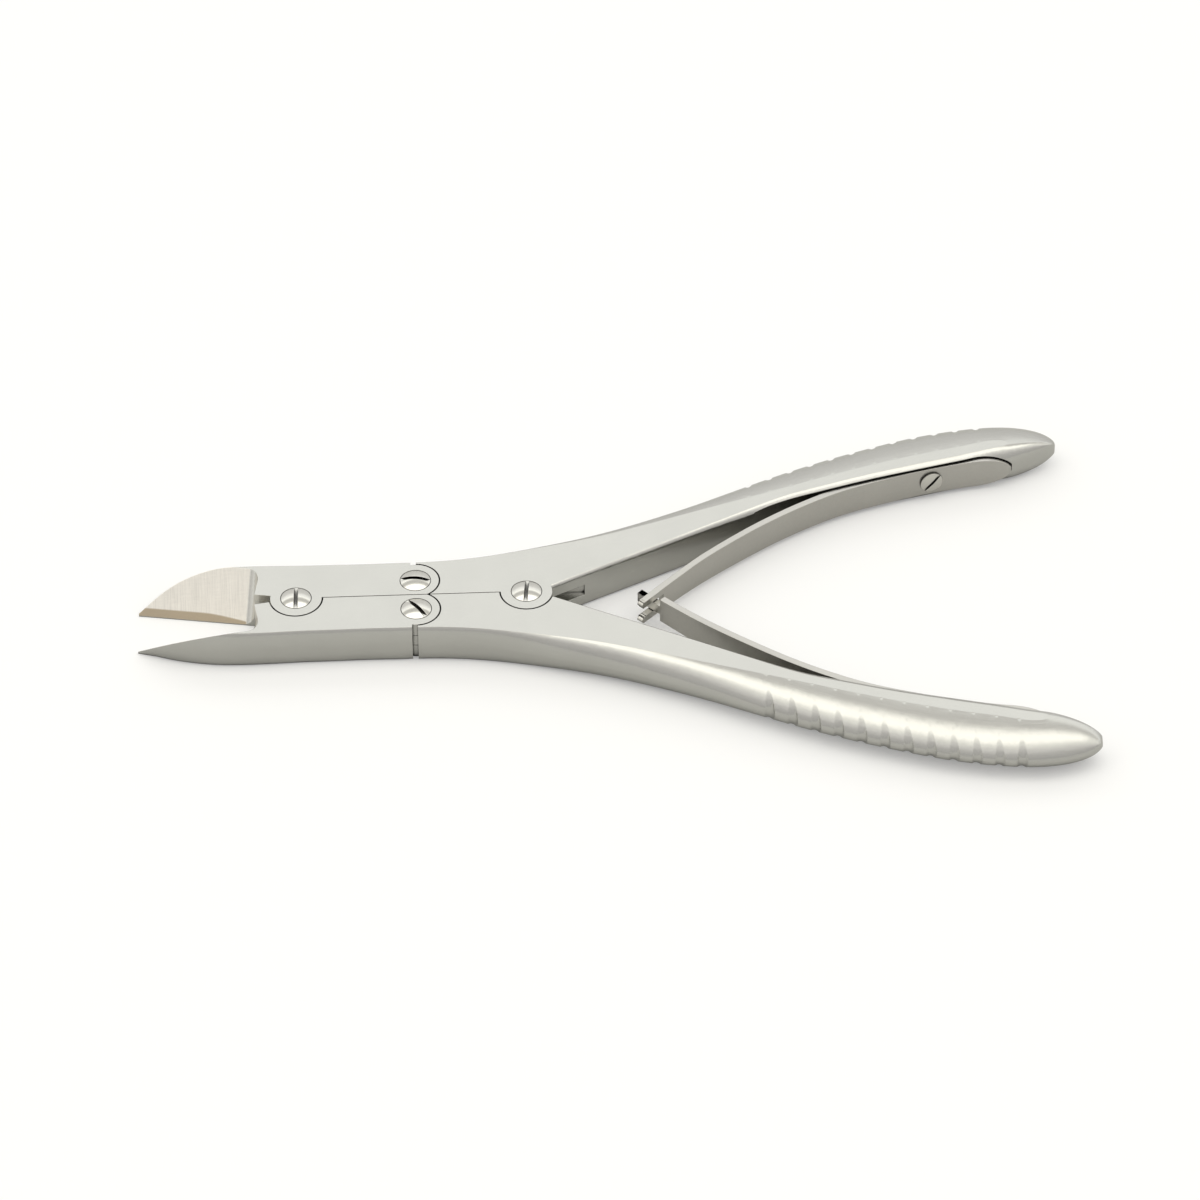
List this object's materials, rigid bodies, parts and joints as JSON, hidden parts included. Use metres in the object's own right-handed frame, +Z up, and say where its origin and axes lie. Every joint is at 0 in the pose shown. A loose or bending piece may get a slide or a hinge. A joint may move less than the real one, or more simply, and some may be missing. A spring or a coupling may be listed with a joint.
{
  "type": "bone cutting forceps",
  "caption": "Double-action bone cutting forceps with straight bevelled blades, compound lever joint, bowed grooved handles and crossed leaf springs.",
  "frame": {"origin": "middle of the whole length and width, on the flat back face that the tool lies on", "axes": "+X from the jaws to the handle ends, +Y towards the right handle, +Z up from the back face towards the screw heads"},
  "size_m": [0.185, 0.0974, 0.0091],
  "materials": {
    "satin_steel": "satin ground stainless steel",
    "polished_steel": "polished stainless steel",
    "spring_steel": "fine brushed stainless spring steel"
  },
  "bodies": {
    "left_grip": {"left_handle": "satin_steel", "left_spring_root": "spring_steel", "left_spring_screw": "polished_steel"},
    "right_grip": {"right_handle": "satin_steel", "handle_screw": "polished_steel", "right_spring_root": "spring_steel", "right_spring_screw": "polished_steel"},
    "right_blade": {"right_jaw": "satin_steel", "jaw_screw": "polished_steel", "right_link_screw": "polished_steel"},
    "left_blade": {"left_jaw": "satin_steel", "left_link_screw": "polished_steel"},
    "right_spring": {"right_spring_leaf": "spring_steel"},
    "left_spring": {"left_spring_leaf": "spring_steel"}
  },
  "joints": [
    {"name": "handle_squeeze", "type": "hinge", "parent": "left_grip", "child": "right_grip", "pos_m": [-0.01615, 0, 0], "axis": [0, 0, 1], "range_deg": [-20.6, 0], "stiffness_Nm_per_rad": 3, "springref_deg": 8.59},
    {"name": "right_jaw_turn", "type": "hinge", "parent": "right_grip", "child": "right_blade", "pos_m": [-0.03785, 0.00412, 0], "axis": [0, 0, 1], "range_deg": [0, 19.81]},
    {"name": "left_jaw_turn", "type": "hinge", "parent": "left_grip", "child": "left_blade", "pos_m": [-0.03785, -0.00412, 0], "axis": [0, 0, 1], "range_deg": [-19.81, 0]},
    {"name": "right_spring_bend", "type": "hinge", "parent": "right_grip", "child": "right_spring", "pos_m": [0.05406, 0.03092, 0], "axis": [0, 0, 1], "range_deg": [-4.99, 0]},
    {"name": "left_spring_bend", "type": "hinge", "parent": "left_grip", "child": "left_spring", "pos_m": [0.05406, -0.03092, 0], "axis": [0, 0, 1], "range_deg": [0, 4.99]}
  ],
  "couplings": [
    {"joint": "right_jaw_turn", "follows": "handle_squeeze", "ratio": -0.96113},
    {"joint": "left_jaw_turn", "follows": "handle_squeeze", "ratio": 0.96113},
    {"joint": "right_spring_bend", "follows": "handle_squeeze", "ratio": 0.24185},
    {"joint": "left_spring_bend", "follows": "handle_squeeze", "ratio": -0.24185}
  ]
}
